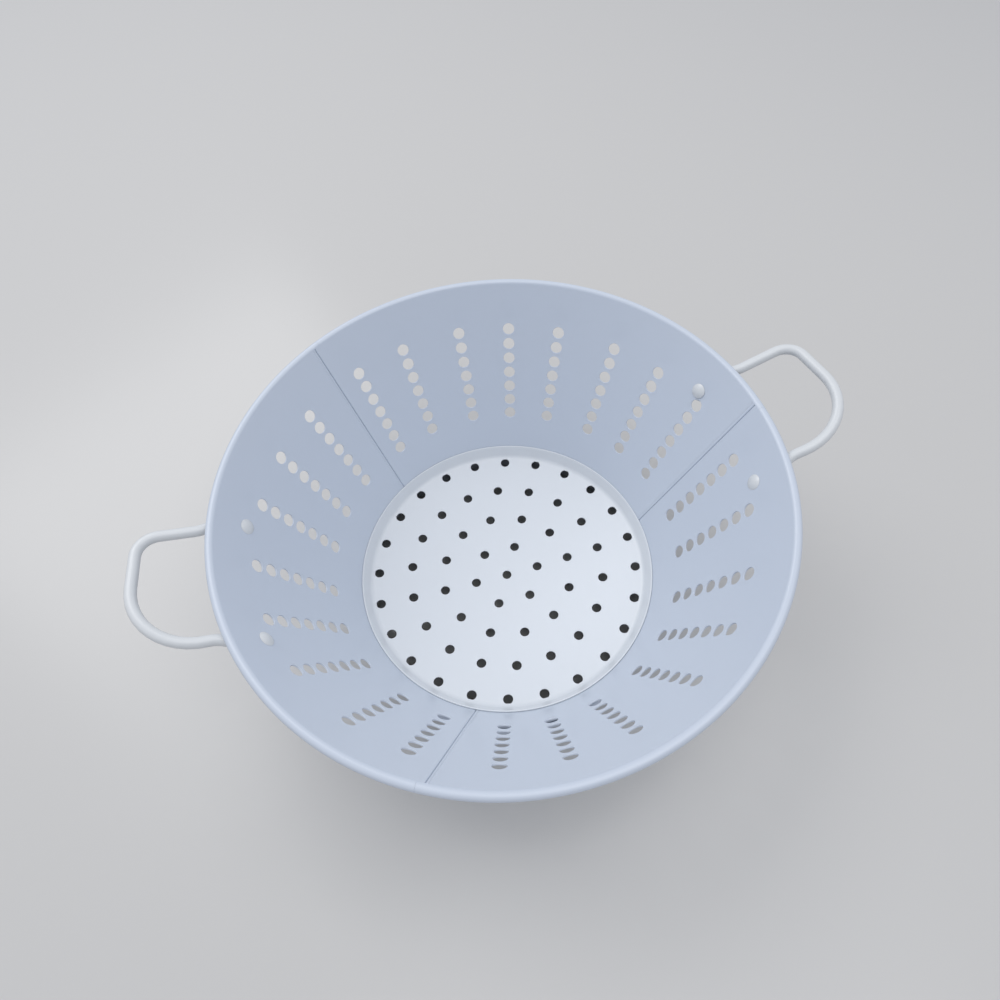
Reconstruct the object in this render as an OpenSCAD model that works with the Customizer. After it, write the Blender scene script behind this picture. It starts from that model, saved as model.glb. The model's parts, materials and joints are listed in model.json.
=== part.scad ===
// Footed enamel colander: a bowl of three seamed wall panels over a dished, perforated pan,
// on a flared foot ring, with a wired rim and two riveted wire handles.
// It stands on the XY plane with the bowl's axis on Z, and its handles point along X.

/* [Bowl] */
// Outside diameter over the rolled rim
rim_d = 261; // [240:1:280]
// Depth from the middle of the rim wire to the middle of the pan
bowl_depth = 97.8; // [88:0.1:108]
// Slope of the wall from upright, in degrees
wall_a = 28.5; // [26:0.5:31]
// Thickness of the enamelled sheet
sheet_t = 0.8; // [0.7:0.05:1]
// Clearance between pieces that lie on or in one another
fit_gap = 0.1; // [0.05:0.01:0.2]

/* [Rim] */
// Diameter of the wire inside the rim
rim_wire_d = 2.4; // [2:0.1:3.5]
// How far the sheet is rolled round the rim wire, in degrees
rim_roll_a = 300; // [270:5:305]

/* [Wall seams] */
// Angle of the first seam from the right handle, in degrees
seam_turn = -0.6; // [-4:0.1:4]
// Width of a folded seam
seam_w = 6; // [5:0.5:8]
// Thickness of the bare sheet inside a fold
fold_t = 0.55; // [0.4:0.05:0.6]
// Clearance between the layers of a fold
fold_gap = 0.05; // [0.03:0.01:0.1]
// Width of the bevels along the seam's groove, on the inside of the bowl
groove_w = 0.3; // [0.1:0.05:0.4]

/* [Wall holes] */
// Diameter of a wall hole
hole_d = 6.3; // [4:0.1:7]
// Spacing of the holes up the wall
hole_pitch = 8.42; // [7.5:0.1:9]
// Holes in a column
hole_rows = 7; // [4:1:7]
// Height of the lowest holes above the middle of the pan
hole_low = 32.8; // [28:0.2:34]
// Columns struck together, from each seam clockwise
column_groups = [2, 3, 3]; // [1:1:3]
// Angle from a seam to the first column, in degrees
column_first = 5.2; // [5:0.1:7]
// Angle between the columns of a group, in degrees
column_pitch = 13.9; // [12:0.1:14.2]
// Angle between one group's last column and the next group's first, in degrees
group_pitch = 16.2; // [14:0.1:17]

/* [Pan] */
// Height of the middle of the pan above the table
pan_h = 13.5; // [11:0.5:20]
// How much higher the outermost ring of holes lies than the middle
pan_rise = 6.75; // [5:0.25:8]
// Height of the lip's edge above the middle of the pan
lip_h = 13.5; // [12.5:0.1:16]
// Inside radius of the bend between the dish and the lip
cove_r = 3.5; // [2:0.1:4]
// Diameter of a pan hole
pan_hole_d = 5.1; // [4:0.1:6]
// Spacing of the rings of pan holes
ring_pitch = 18; // [15:0.1:18]
// Rings of pan holes round the middle one
ring_count = 4; // [2:1:4]
// Turn of the pan from the handles' line, in degrees
pan_turn = -2.1; // [-10:0.1:10]

/* [Foot] */
// Length of wall below the edge of the pan's lip
wall_tail = 6; // [5.5:0.1:7.5]
// Height of the collar that holds the wall, up the slope
collar_h = 7.5; // [6.5:0.1:9]
// Inside radius of the bend at the foot's waist
waist_r = 2.5; // [1.5:0.1:4]
// Flare of the foot from upright, in degrees
foot_flare = 14; // [8:0.5:20]
// Radius of the hollow inside the foot's rolled edge
foot_roll_r = 0.9; // [0.7:0.05:1.4]
// How far the foot's edge is rolled, in degrees
foot_roll_a = 285; // [250:5:295]
// Depth of the flat that is worn on the rolled edge
foot_worn = 0.1; // [0.08:0.01:0.15]

/* [Handles] */
// Diameter of the handle wire
wire_d = 5; // [4:0.1:6]
// Reach of the right handle from the bowl's axis
right_reach = 165.3; // [160:0.1:172]
// Reach of the left handle from the bowl's axis
left_reach = 162.8; // [160:0.1:172]
// Turn of the left handle past the point opposite the right one, in degrees
left_turn = 1.5; // [-3:0.1:3]
// Rise of the handles from level, in degrees
handle_a = 16; // [8:0.5:20]
// Space between the rim's roll and the legs that pass under it
leg_gap = 0.7; // [0.3:0.1:2]
// Width of the loop at its neck, between wire centres
neck_w = 53.4; // [50:0.1:56]
// Distance from the rim to the neck
neck_out = 3; // [1:0.5:5]
// Width of the loop outside the neck, between wire centres
loop_w = 55; // [53:0.1:60]
// Lean of the loop's outer side, in degrees
loop_lean = 8.5; // [0:0.5:10]
// Radius of the loop's tight corner, which is at the back
tight_r = 10; // [6:0.5:14]
// Radius of the loop's wide corner, which is at the front
wide_r = 26.5; // [16:0.5:27]
// Radius of the bends at the neck
neck_r = 14; // [8:0.5:16]
// Radius of the bend above the flattened end
knee_r = 4; // [3:0.1:4.5]
// Diameter of the flattened end
paddle_d = 11; // [10:0.1:13]
// Thickness of the flattened end
paddle_t = 1.8; // [1.2:0.1:2.4]
// Width of the wire where it begins to narrow from the flattened end
taper_d = 8.8; // [7:0.1:9.5]

/* [Rivets] */
// Distance between the rivets of a handle
rivet_span = 57.4; // [55:0.1:60]
// Depth of the rivets below the middle of the rim wire
rivet_drop = 14.8; // [14.5:0.1:16]
// Diameter of a rivet's shank
rivet_d = 4; // [3:0.1:4.5]
// Diameter of a rivet's head inside the bowl
inner_head_d = 7.4; // [6:0.1:8]
// Height of a rivet's head inside the bowl
inner_head_h = 1.2; // [0.8:0.1:2]
// Diameter of a rivet's head on the handle
outer_head_d = 6.8; // [5.5:0.1:7]
// Height of a rivet's head on the handle
outer_head_h = 1.9; // [1.2:0.1:2.5]

/* [Hidden] */
$fn = 96;
hole_fn = 24;
enamel = "#d5dde8";
enamel_white = "#e4e9ef";
steel = "#8b8a86";

// The bowl has three panels, each a third of a turn
panel_count = 3;
panel_a = 360 / panel_count;
// How far a cutting tool reaches past what it cuts
bite = 0.5;
// How far one stretch of a sheet or wire runs into the next
lap = 0.3;
// How much thicker a wire is in its bends
swell = 0.03;
// How far the hooks of a seam run into their panel's sheet
hook_root = 1;

// The wall's own directions in a plane through the axis: outward across it, and up it
across = [cos(wall_a), -sin(wall_a)];
up = [sin(wall_a), cos(wall_a)];

// The rolled rim
rim_hollow_r = rim_wire_d / 2 + fit_gap;
bead_r = rim_hollow_r + sheet_t;
bead_c = [rim_d / 2 - bead_r, pan_h + bowl_depth];
// Distance of the wall's inner face from the origin, and heights measured up the slope
face = across * bead_c - bead_r;
slope_rim = up * bead_c;
function slope_at(z) = (z + face * sin(wall_a)) / cos(wall_a);
lip_edge = slope_at(pan_h + lip_h);
wall_foot = lip_edge - wall_tail;
collar_top = wall_foot + collar_h;
fold_low = collar_top + fit_gap;
fold_high = slope_rim - bead_r - fit_gap;

// The layers of a seam, from the inside out
layer = fold_t + fold_gap;
half_w = seam_w / 2;
end_gap_a = asin(fold_gap / rim_d);

// The dish of the pan is part of a sphere, met by the cove that turns up into the lip
pan_edge_r = ring_count * ring_pitch;
dish_r = (pan_edge_r * pan_edge_r + pan_rise * pan_rise) / (2 * pan_rise);
dish_c = [0, pan_h + dish_r];
lip_face = face - sheet_t - fit_gap;
cove_a = asin((lip_face - cove_r - across * dish_c) / (dish_r - cove_r)) - wall_a;
cove_c = dish_c + (dish_r - cove_r) * [sin(cove_a), -cos(cove_a)];

// The foot: collar, waist, flare and rolled edge
collar_face = face + sheet_t + fit_gap;
waist_c = (collar_face + sheet_t + waist_r) * across + (wall_foot - fit_gap) * up;
flare_out = [cos(foot_flare), sin(foot_flare)];
flare_up = [-sin(foot_flare), cos(foot_flare)];
flare_face = flare_out * waist_c - waist_r - sheet_t;
foot_edge_r = foot_roll_r + sheet_t;
foot_edge_z = foot_edge_r - foot_worn;
foot_edge_c = [(flare_face + foot_edge_r - foot_edge_z * sin(foot_flare)) / cos(foot_flare), foot_edge_z];

// The rivets
slope_rivet = slope_at(bead_c[1] - rivet_drop);
rivet_r = (face * across + slope_rivet * up)[0];
rivet_a = asin(rivet_span / 2 / rivet_r);
left_a = 180 + left_turn;
paddle_face = sheet_t + fit_gap;
outer_seat = paddle_face + paddle_t + fit_gap;

// The handle wire lies in a plane that rises outwards and passes under the rim
wire_r = wire_d / 2;
wire_face = face + paddle_face + wire_r + 4 * swell;
rim_at_neck = sqrt(pow(bead_c[0], 2) - pow(neck_w / 2, 2));
leg_z = bead_c[1] - (bead_r + leg_gap + wire_r) / cos(handle_a);
function plane_z(x) = leg_z + (x - rim_at_neck) * tan(handle_a);
// The knee is where the wire, on its way up the wall, meets that plane
knee_slope = (leg_z - rim_at_neck * tan(handle_a)
              + wire_face * (sin(wall_a) + cos(wall_a) * cos(rivet_a) * tan(handle_a)))
             / (cos(wall_a) - sin(wall_a) * cos(rivet_a) * tan(handle_a));
knee_rz = wire_face * across + knee_slope * up;
knee_turn_r = knee_r + wire_r;

function unit(v) = v / norm(v);
function turn_a(a, b, c) = acos(unit(b - a) * unit(c - b));

// A piece of sheet bent to an arc, in section: its inner radius and its two end angles
module arc_strip(r, from, to) {
  far = 2 * (r + sheet_t);
  steps = 6;
  intersection() {
    difference() {
      circle(r + sheet_t);
      circle(r);
    }
    polygon(concat([[0, 0]], [for (i = [0 : steps]) far * [cos(from + (to - from) * i / steps),
                                                         sin(from + (to - from) * i / steps)]]));
  }
}

// A straight strip of sheet in section, from its near face, along one direction
module flat_strip(near, out, along, from, to) {
  polygon([near * out + from * along,
           (near + sheet_t) * out + from * along,
           (near + sheet_t) * out + to * along,
           near * out + to * along]);
}

// The angle that a lap takes on an arc
function lap_a(r) = asin(lap / r);

// Places a piece in the wall's directions at an angle round the bowl: X out, Y round, Z up the slope
module on_wall(a) {
  rotate([0, 0, a])
    rotate([0, wall_a, 0])
      children();
}

// A round tool or shank square to the wall, from one depth to another
module peg(a, slope, d, from, to) {
  on_wall(a)
    translate([face + from, 0, slope])
      rotate([0, 90, 0])
        cylinder(h = to - from, d = d);
}

module wall_section() {
  flat_strip(face, across, up, wall_foot, slope_rim + lap);
  translate(bead_c)
    arc_strip(rim_hollow_r, 180 - wall_a - rim_roll_a, 180 - wall_a);
}

// The hook that ends a panel: it turns out and back over the next panel's hook
module closing_hook() {
  translate([0, 0, fold_low])
    linear_extrude(fold_high - fold_low)
      translate([face, 0])
        polygon([[0, -half_w - hook_root],
                 [fold_t, -half_w - hook_root],
                 [fold_t, half_w - fold_t],
                 [2 * layer, half_w - fold_t],
                 [2 * layer, -half_w + fold_t + fold_gap],
                 [2 * layer + fold_t, -half_w + fold_t + fold_gap],
                 [2 * layer + fold_t, half_w],
                 [groove_w, half_w],
                 [0, half_w - groove_w]]);
}

// The hook that starts a panel: it steps out over the last panel's hook and in under it
module opening_hook() {
  web = half_w + fold_gap;
  translate([0, 0, fold_low])
    linear_extrude(fold_high - fold_low)
      translate([face, 0])
        polygon([[0, web + groove_w],
                 [groove_w, web],
                 [3 * layer, web],
                 [3 * layer, -half_w + fold_t],
                 [layer + fold_t, -half_w + fold_t],
                 [layer + fold_t, half_w - fold_t - fold_gap],
                 [layer, half_w - fold_t - fold_gap],
                 [layer, -half_w],
                 [3 * layer + fold_t, -half_w],
                 [3 * layer + fold_t, web + fold_t],
                 [fold_t, web + fold_t + hook_root],
                 [0, web + fold_t + hook_root]]);
}

// The strip of a panel that its hook replaces
module hook_room(from, to) {
  translate([face - bite, from, fold_low])
    cube([sheet_t + 2 * bite, to - from, fold_high - fold_low]);
}

// The angle of each column of holes before the panel's end
function column_angles(group = 0, start = column_first) =
  group == len(column_groups) ? [] :
  concat([for (i = [0 : column_groups[group] - 1]) start + i * column_pitch],
         column_angles(group + 1, start + (column_groups[group] - 1) * column_pitch + group_pitch));

module rivet_drills() {
  for (a = [rivet_a, -rivet_a, left_a - rivet_a, left_a + rivet_a])
    peg(a, slope_rivet, rivet_d + 2 * fit_gap, -bite, sheet_t + bite);
}

module wall_panel(index) {
  start = seam_turn + index * panel_a;
  finish = start + panel_a;
  difference() {
    rotate([0, 0, start + end_gap_a])
      rotate_extrude(angle = panel_a - 2 * end_gap_a)
        wall_section();
    on_wall(start)
      hook_room(-bite, half_w + fold_gap + fold_t / 2);
    on_wall(finish)
      hook_room(-half_w - fold_gap, bite);
    for (a = column_angles())
      for (row = [0 : hole_rows - 1])
        peg(finish - a, slope_at(pan_h + hole_low) + row * hole_pitch, hole_d, -bite, sheet_t + bite,
            $fn = hole_fn);
    rivet_drills($fn = hole_fn);
  }
  on_wall(start)
    opening_hook();
  on_wall(finish)
    closing_hook();
}

module wall_panel_back() {
  color(enamel)
    wall_panel(0);
}

module wall_panel_left() {
  color(enamel)
    wall_panel(1);
}

module wall_panel_front() {
  color(enamel)
    wall_panel(2);
}

module pan_section() {
  translate(dish_c)
    arc_strip(dish_r, -90, cove_a - 90 + lap_a(dish_r));
  translate(cove_c)
    arc_strip(cove_r, cove_a - 90, -wall_a);
  flat_strip(lip_face, across, up, up * cove_c - lap, lip_edge);
}

module bottom_pan() {
  color(enamel_white)
    difference() {
      rotate_extrude()
        pan_section();
      for (ring = [0 : ring_count])
        for (i = [0 : max(6 * ring, 1) - 1])
          rotate([0, 0, pan_turn + i * 60 / max(ring, 1)])
            translate([ring * ring_pitch, 0, pan_h - sheet_t - bite])
              cylinder(h = pan_rise + lip_h, d = pan_hole_d, $fn = hole_fn);
    }
}

module foot_section() {
  flat_strip(collar_face, across, up, up * waist_c - lap, collar_top);
  translate(waist_c)
    arc_strip(waist_r, 180 - wall_a, 180 + foot_flare);
  flat_strip(flare_face, flare_out, flare_up, flare_up * foot_edge_c - lap, flare_up * waist_c + lap);
  translate(foot_edge_c)
    arc_strip(foot_roll_r, 180 + foot_flare, 180 + foot_flare + foot_roll_a);
}

module foot_ring() {
  color(enamel)
    difference() {
      rotate_extrude()
        foot_section();
      translate([0, 0, -2 * foot_edge_r])
        cylinder(h = 2 * foot_edge_r, r = foot_edge_c[0] + 2 * foot_edge_r);
    }
}

module rim_wire() {
  color(steel)
    rotate_extrude()
      translate(bead_c)
        circle(d = rim_wire_d, $fn = hole_fn);
}

// A straight length of handle wire
module wire_run(from, to) {
  d = to - from;
  translate(from)
    rotate([0, acos(d[2] / norm(d)), atan2(d[1], d[0])])
      cylinder(h = norm(d), d = wire_d, $fn = hole_fn);
}

// A bend of handle wire round the corner b, on its way from a to c
module wire_bend(a, b, c, r) {
  turn = turn_a(a, b, c);
  centre = b + unit(unit(a - b) + unit(c - b)) * r / cos(turn / 2);
  x = unit(b + unit(a - b) * r * tan(turn / 2) - centre);
  z = unit(cross(b - a, c - b));
  y = cross(z, x);
  multmatrix([[x[0], y[0], z[0], centre[0]],
              [x[1], y[1], z[1], centre[1]],
              [x[2], y[2], z[2], centre[2]],
              [0, 0, 0, 1]])
    rotate_extrude(angle = turn)
      translate([r, 0])
        circle(r = wire_r + swell, $fn = hole_fn);
}

// Corner i of the wire's route and the length that its bend takes from each leg
function bend_leg(route, radii, i) =
  radii[i] == 0 ? 0 : radii[i] * tan(turn_a(route[i - 1], route[i], route[i + 1]) / 2);

// A wire through corners, each with its bend radius; the ends have none
module bent_wire(route, radii) {
  last = len(route) - 1;
  for (i = [1 : last]) {
    way = unit(route[i] - route[i - 1]);
    wire_run(route[i - 1] + way * (bend_leg(route, radii, i - 1) - lap),
             route[i] - way * (bend_leg(route, radii, i) - lap));
  }
  for (i = [1 : last - 1])
    wire_bend(route[i - 1], route[i], route[i + 1], radii[i]);
}

// The corners of one handle, which points along X and has its tight corner on +Y
function loop_corners(reach) =
  let (middle = [reach - wire_r - wide_r, wide_r - loop_w / 2],
       side = middle * [cos(loop_lean), sin(loop_lean)] + wide_r,
       tight_x = (side - loop_w / 2 * sin(loop_lean)) / cos(loop_lean),
       wide_x = (side + loop_w / 2 * sin(loop_lean)) / cos(loop_lean),
       neck_x = sqrt(pow(rim_d / 2, 2) - pow(neck_w / 2, 2)) + neck_out)
  [[neck_x, neck_w / 2, plane_z(neck_x)],
   [tight_x, loop_w / 2, plane_z(tight_x)],
   [wide_x, -loop_w / 2, plane_z(wide_x)],
   [neck_x, -neck_w / 2, plane_z(neck_x)]];

function knee(side) = [knee_rz[0] * cos(rivet_a), side * knee_rz[0] * sin(rivet_a), knee_rz[1]];

// Where the round wire starts above the flattened end, on its way up the wall
knee_back = knee(1) - [up[0] * cos(rivet_a), up[0] * sin(rivet_a), up[1]];
knee_turn_a = turn_a(knee_back, knee(1), loop_corners(right_reach)[0]);
neck_start = knee_slope - knee_turn_r * tan(knee_turn_a / 2);
function wire_start(side) =
  let (p = wire_face * across + neck_start * up)
  [p[0] * cos(rivet_a), side * p[0] * sin(rivet_a), p[1]];

// The flattened end of the wire, on the wall at one rivet
module paddle(side) {
  flat_end = slope_rivet + outer_head_d / 2 + fit_gap;
  on_wall(side * rivet_a) {
    difference() {
      translate([face + paddle_face, 0, slope_rivet])
        rotate([0, 90, 0])
          cylinder(h = paddle_t, d = paddle_d);
      translate([face, 0, slope_rivet])
        rotate([0, 90, 0])
          cylinder(h = outer_seat, d = rivet_d + 2 * fit_gap, $fn = hole_fn);
    }
    intersection() {
      translate([wire_face, 0, flat_end])
        cylinder(h = neck_start + lap / 2 - flat_end, d1 = taper_d, d2 = wire_d + 4 * swell, $fn = hole_fn);
      translate([face + paddle_face, 0, 0])
        rotate([90, 0, 0])
          linear_extrude(paddle_d, center = true)
            polygon([[0, flat_end],
                     [paddle_t, flat_end],
                     [wire_d + 2 * lap, neck_start],
                     [wire_d + 2 * lap, neck_start + bite],
                     [0, neck_start + bite]]);
    }
  }
}

module handle(reach) {
  corners = loop_corners(reach);
  route = concat([wire_start(1), knee(1)], corners, [knee(-1), wire_start(-1)]);
  bent_wire(route, [0, knee_turn_r, neck_r, tight_r, wide_r, neck_r, knee_turn_r, 0]);
  paddle(1);
  paddle(-1);
}

module handle_right() {
  color(enamel_white)
    handle(right_reach);
}

module handle_left() {
  color(enamel_white)
    rotate([0, 0, left_a])
      mirror([0, 1, 0])
        handle(left_reach);
}

// A low round head that stands on a plane
module rivet_head(d, h) {
  r = (d * d / 4 + h * h) / (2 * h);
  intersection() {
    translate([0, 0, h - r])
      sphere(r);
    translate([-d, -d, 0])
      cube([2 * d, 2 * d, h + bite]);
  }
}

module rivet(a) {
  color(enamel_white)
    on_wall(a)
      translate([face, 0, slope_rivet])
        rotate([0, 90, 0]) {
          translate([0, 0, -fit_gap])
            cylinder(h = outer_seat + fit_gap, d = rivet_d, $fn = hole_fn);
          translate([0, 0, outer_seat])
            rivet_head(outer_head_d, outer_head_h);
          translate([0, 0, -fit_gap])
            mirror([0, 0, 1])
              rivet_head(inner_head_d, inner_head_h);
        }
}

wall_panel_back();
wall_panel_left();
wall_panel_front();
bottom_pan();
foot_ring();
rim_wire();
handle_right();
handle_left();
rivet(rivet_a);  // rivet_right_back
rivet(-rivet_a);  // rivet_right_front
rivet(left_a - rivet_a);  // rivet_left_back
rivet(left_a + rivet_a);  // rivet_left_front
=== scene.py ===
# Footed enamel colander: the finished look of every piece, built round the packed model.
# Lengths are in metres. The bowl's axis is Z, it stands on the XY plane and its handles point along X.

import json
from math import acos, asin, atan2, ceil, cos, degrees, exp, floor, hypot, pi, radians, sin, sqrt, tan

import bmesh
import bpy
from bpy.props import FloatProperty, FloatVectorProperty, IntProperty, PointerProperty
from mathutils import Matrix, Vector
from mathutils.geometry import delaunay_2d_cdt

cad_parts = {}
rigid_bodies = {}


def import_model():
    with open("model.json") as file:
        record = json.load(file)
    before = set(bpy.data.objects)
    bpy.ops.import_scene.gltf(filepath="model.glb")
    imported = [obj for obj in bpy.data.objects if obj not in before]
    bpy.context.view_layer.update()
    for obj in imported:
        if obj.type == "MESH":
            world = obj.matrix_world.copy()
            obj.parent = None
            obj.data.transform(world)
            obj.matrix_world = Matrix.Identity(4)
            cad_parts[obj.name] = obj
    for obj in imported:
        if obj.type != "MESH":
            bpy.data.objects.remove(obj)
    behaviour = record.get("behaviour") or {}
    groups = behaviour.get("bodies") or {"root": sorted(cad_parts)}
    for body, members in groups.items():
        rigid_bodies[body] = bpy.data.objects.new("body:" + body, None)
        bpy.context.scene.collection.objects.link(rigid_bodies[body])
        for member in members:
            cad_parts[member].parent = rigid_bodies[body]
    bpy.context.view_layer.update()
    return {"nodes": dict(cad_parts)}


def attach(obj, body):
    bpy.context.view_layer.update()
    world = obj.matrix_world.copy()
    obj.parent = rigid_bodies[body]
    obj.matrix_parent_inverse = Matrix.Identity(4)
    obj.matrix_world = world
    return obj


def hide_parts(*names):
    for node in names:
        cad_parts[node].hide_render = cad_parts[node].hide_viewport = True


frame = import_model()

bl_info = {
    "name": "Enamel colander",
    "version": (1, 0, 0),
    "blender": (4, 5, 0),
    "location": "3D View > Sidebar > Colander",
    "description": "Builds a footed enamel colander from a few sizes",
    "category": "Add Mesh",
}

MM = 0.001
BODY = "root"
PANELS = ("wall_panel_back", "wall_panel_left", "wall_panel_front")
# How close points of neighbouring stretches lie before they are joined
WELD = 2e-6


# Sizes and colours


def length(label, about, size_mm, low_mm, high_mm):
    return FloatProperty(
        name=label, description=about, default=size_mm * MM, min=low_mm * MM, max=high_mm * MM,
        precision=5, unit="LENGTH",
    )


def angle(label, about, size, low, high):
    return FloatProperty(
        name=label, description=about, default=radians(size), min=radians(low), max=radians(high),
        subtype="ANGLE",
    )


def colour(label, about, rgb):
    return FloatVectorProperty(
        name=label, description=about, default=rgb, size=3, min=0, max=1, subtype="COLOR"
    )


class BowlSizes(bpy.types.PropertyGroup):
    """Sizes of the bowl: wall panels, rim, holes, pan and foot"""

    rim_d: length("Rim", "Outside diameter over the rolled rim", 261, 240, 280)
    depth: length("Depth", "From the middle of the rim wire to the middle of the pan", 97.8, 88, 108)
    wall_a: angle("Wall slope", "Slope of the wall from upright", 28.5, 26, 31)
    sheet_t: length("Sheet", "Thickness of the enamelled sheet", 0.8, 0.7, 1)
    fit_gap: length("Fit", "Clearance between pieces that lie in one another", 0.1, 0.05, 0.2)
    rim_wire_d: length("Rim wire", "Diameter of the wire inside the rim", 2.4, 2, 3.5)
    rim_roll_a: angle("Rim roll", "How far the sheet is rolled round the rim wire", 300, 270, 305)
    seam_turn: angle("Seams", "Angle of the first seam from the right handle", -0.6, -4, 4)
    seam_w: length("Seam width", "Width of a folded seam", 6, 5, 8)
    fold_t: length("Fold", "Thickness of the bare sheet inside a fold", 0.55, 0.4, 0.6)
    fold_gap: length("Fold gap", "Clearance between the layers of a fold", 0.05, 0.03, 0.1)
    hole_d: length("Wall holes", "Diameter of a wall hole", 6.3, 4, 7)
    hole_pitch: length("Hole spacing", "Spacing of the holes up the wall", 8.42, 7.5, 9)
    hole_rows: IntProperty(name="Holes in a column", description="Holes in a column", default=7, min=4, max=7)
    hole_low: length("Lowest holes", "Height of the lowest holes above the middle of the pan", 32.8, 28, 34)
    columns: IntProperty(name="Columns", description="Columns of holes in a panel", default=8, min=6, max=8)
    second_group: IntProperty(name="Second group", description="First column of the second group", default=2)
    third_group: IntProperty(name="Third group", description="First column of the third group", default=5)
    column_first: angle("First column", "Angle from a seam to the first column", 5.2, 5, 7)
    column_pitch: angle("Column spacing", "Angle between the columns of a group", 13.9, 12, 14.2)
    group_pitch: angle("Group spacing", "Angle from one group's last column to the next group", 16.2, 14, 17)
    pan_h: length("Pan height", "Height of the middle of the pan above the table", 13.5, 11, 20)
    pan_rise: length("Pan rise", "How much higher the outermost ring of holes lies", 6.75, 5, 8)
    lip_h: length("Lip", "Height of the lip's edge above the middle of the pan", 13.5, 12.5, 16)
    cove_r: length("Cove", "Inside radius of the bend between the dish and the lip", 3.5, 2, 4)
    pan_hole_d: length("Pan holes", "Diameter of a pan hole", 5.1, 4, 6)
    ring_pitch: length("Ring spacing", "Spacing of the rings of pan holes", 18, 15, 18)
    ring_count: IntProperty(name="Rings", description="Rings of pan holes round the middle", default=4, min=2, max=4)
    pan_turn: angle("Pan turn", "Turn of the pan from the handles' line", -2.1, -10, 10)
    wall_tail: length("Wall tail", "Length of wall below the edge of the pan's lip", 6, 5.5, 7.5)
    collar_h: length("Collar", "Height of the foot's collar, up the slope", 7.5, 6.5, 9)
    waist_r: length("Waist", "Inside radius of the bend at the foot's waist", 2.5, 1.5, 4)
    foot_flare: angle("Flare", "Flare of the foot from upright", 14, 8, 20)
    foot_roll_r: length("Foot roll", "Radius of the hollow inside the foot's rolled edge", 0.9, 0.7, 1.4)
    foot_roll_a: angle("Foot roll turn", "How far the foot's edge is rolled", 285, 250, 295)
    foot_worn: length("Foot wear", "Depth of the flat worn on the rolled edge", 0.1, 0.08, 0.15)


class HandleSizes(bpy.types.PropertyGroup):
    """Sizes of the wire handles and their rivets"""

    wire_d: length("Wire", "Diameter of the handle wire", 5, 4, 6)
    right_reach: length("Right reach", "Reach of the right handle from the bowl's axis", 165.3, 160, 172)
    left_reach: length("Left reach", "Reach of the left handle from the bowl's axis", 162.8, 160, 172)
    left_turn: angle("Left turn", "Turn of the left handle past the opposite point", 1.5, -3, 3)
    rise_a: angle("Rise", "Rise of the handles from level", 16, 8, 20)
    leg_gap: length("Leg gap", "Space between the rim's roll and the legs under it", 0.7, 0.3, 2)
    neck_w: length("Neck", "Width of the loop at its neck, between wire centres", 53.4, 50, 56)
    neck_out: length("Neck distance", "Distance from the rim to the neck", 3, 1, 5)
    loop_w: length("Loop", "Width of the loop outside the neck, between wire centres", 55, 53, 60)
    loop_lean: angle("Lean", "Lean of the loop's outer side", 8.5, 0, 10)
    tight_r: length("Tight corner", "Radius of the loop's corner at the back", 10, 6, 14)
    wide_r: length("Wide corner", "Radius of the loop's corner at the front", 26.5, 16, 27)
    neck_r: length("Neck bends", "Radius of the bends at the neck", 14, 8, 16)
    knee_r: length("Knee", "Radius of the bend above the flattened end", 4, 3, 4.5)
    paddle_d: length("Flattened end", "Diameter of the flattened end", 11, 10, 13)
    paddle_t: length("Flattened thickness", "Thickness of the flattened end", 1.8, 1.2, 2.4)
    rivet_span: length("Rivet span", "Distance between the rivets of a handle", 57.4, 55, 60)
    rivet_drop: length("Rivet depth", "Depth of the rivets below the middle of the rim wire", 14.8, 14.5, 16)
    rivet_d: length("Shank", "Diameter of a rivet's shank", 4, 3, 4.5)
    inner_head_d: length("Inner head", "Diameter of a rivet's head inside the bowl", 7.4, 6, 8)
    inner_head_h: length("Inner head height", "Height of a rivet's head inside the bowl", 1.2, 0.8, 2)
    outer_head_d: length("Outer head", "Diameter of a rivet's head on the handle", 6.8, 5.5, 7)
    outer_head_h: length("Outer head height", "Height of a rivet's head on the handle", 1.9, 1.2, 2.5)


class FinishColours(bpy.types.PropertyGroup):
    """Colours of the enamel and its wear"""

    wall: colour("Wall enamel", "Pale ground of the wall", (0.60, 0.655, 0.74))
    # The pan's ground is the wall's enamel painted lighter: painted light from above on the upward-facing pan
    pan: colour("Pan enamel", "Pale ground of the pan", (0.72, 0.75, 0.78))
    white: colour("White enamel", "White of the handles and rivets", (0.70, 0.72, 0.73))
    spot: colour("Spots", "Grey of the mottling", (0.235, 0.27, 0.295))
    spot_edge: colour("Spot edges", "Darker grey round each spot", (0.10, 0.115, 0.125))
    iron: colour("Bare iron", "Dark iron where the enamel is worn away", (0.035, 0.032, 0.03))
    rust: colour("Rust", "Red-brown rust", (0.16, 0.065, 0.03))
    stain: colour("Stain", "Yellow-brown stain round rust", (0.42, 0.30, 0.14))


# The bowl's lines in a half-plane through its axis: c runs outward across the wall, s up it


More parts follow.
